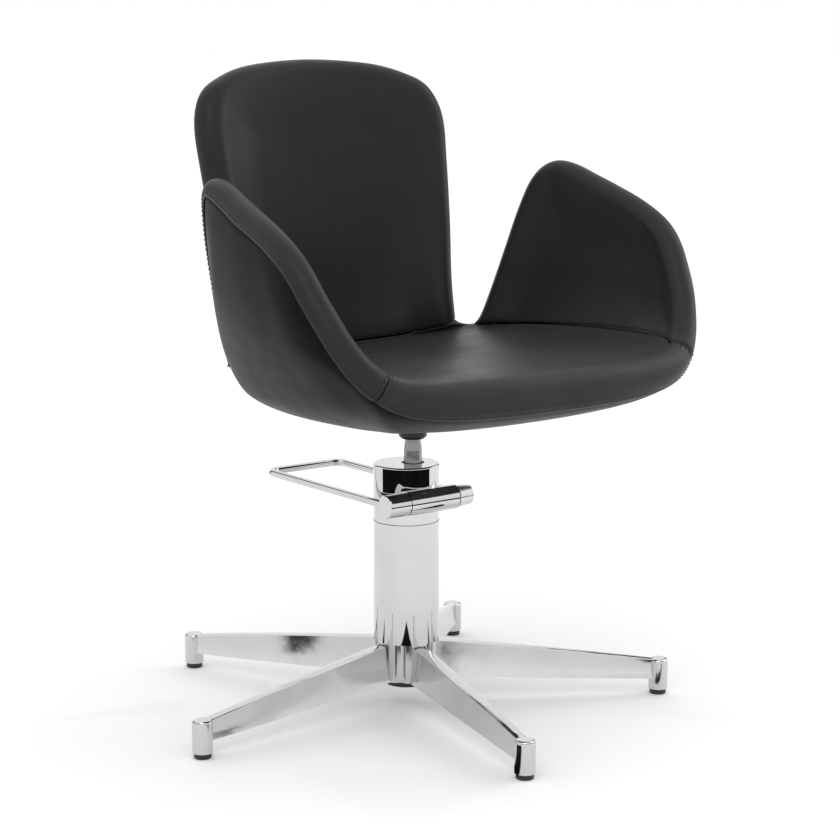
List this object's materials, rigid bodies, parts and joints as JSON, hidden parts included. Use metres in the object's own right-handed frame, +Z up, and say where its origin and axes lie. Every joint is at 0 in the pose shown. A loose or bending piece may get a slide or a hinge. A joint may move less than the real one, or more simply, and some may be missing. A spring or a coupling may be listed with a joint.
{
  "type": "styling chair",
  "caption": "Hydraulic salon styling chair: padded petal-shaped bucket seat that turns and lifts on a column with a foot lever and a star base.",
  "frame": {"origin": "where the column's axis meets the floor", "axes": "+Z up, -Y the way the sitter faces, +X the sitter's left"},
  "size_m": [0.6152, 0.6231, 0.779],
  "materials": {
    "polished_aluminium": "polished",
    "chrome": "mirror polished",
    "steel": "ground",
    "black_plastic": "satin moulded",
    "rubber": "matt",
    "bronze": "plain",
    "plywood": "raw moulded plywood",
    "leather_inner": "smooth synthetic leather, satin",
    "leather_outer": "smooth synthetic leather, satin",
    "cover_cloth": "thin non-woven sheet"
  },
  "bodies": {
    "base": {"base_star": "polished_aluminium", "foot_glides": "black_plastic", "glide_stems": "steel", "base_nut": "black_plastic", "pump_foot": "steel", "pump_tank": "steel", "column_sleeve": "chrome", "pump_head": "chrome", "cylinder_liner": "steel", "rod_guide": "bronze", "rod_seal": "rubber", "shaft_bush_near": "bronze", "shaft_bush_far": "bronze"},
    "lever": {"lever_shaft": "steel", "pump_cam": "steel", "foot_lever": "chrome", "near_knuckle": "chrome", "far_knuckle": "chrome", "shaft_ring": "black_plastic", "lever_set_screws": "steel"},
    "plunger": {"plunger": "steel"},
    "lift": {"piston": "steel", "piston_seal": "rubber", "thrust_washer": "bronze"},
    "seat": {"piston_rod": "steel", "seat_socket": "black_plastic", "mount_plate": "steel", "mount_bolts": "steel", "seat_pan": "plywood", "bottom_cover": "cover_cloth", "seat_cushion": "leather_inner", "left_arm_padding": "leather_inner", "left_arm_core": "plywood", "left_arm_cover": "leather_outer", "right_arm_padding": "leather_inner", "right_arm_core": "plywood", "right_arm_cover": "leather_outer", "back_padding": "leather_inner", "back_core": "plywood", "back_cover": "leather_outer"}
  },
  "joints": [
    {"name": "lever_press", "type": "hinge", "parent": "base", "child": "lever", "pos_m": [0, -0.042, 0.261], "axis": [-1, 0, 0], "range_deg": [-12, 24], "stiffness_Nm_per_rad": 6},
    {"name": "plunger_stroke", "type": "slide", "parent": "base", "child": "plunger", "axis": [0, 0, -1], "range_m": [-0.0035, 0.0068]},
    {"name": "seat_lift", "type": "slide", "parent": "base", "child": "lift", "axis": [0, 0, 1], "range_m": [0, 0.13]},
    {"name": "seat_swivel", "type": "hinge", "parent": "lift", "child": "seat", "pos_m": [0.0075, -0.0035, 0.114], "axis": [0, 0, 1], "continuous": true}
  ],
  "couplings": [
    {"joint": "plunger_stroke", "follows": "lever_press", "m_per_rad": 0.015}
  ]
}
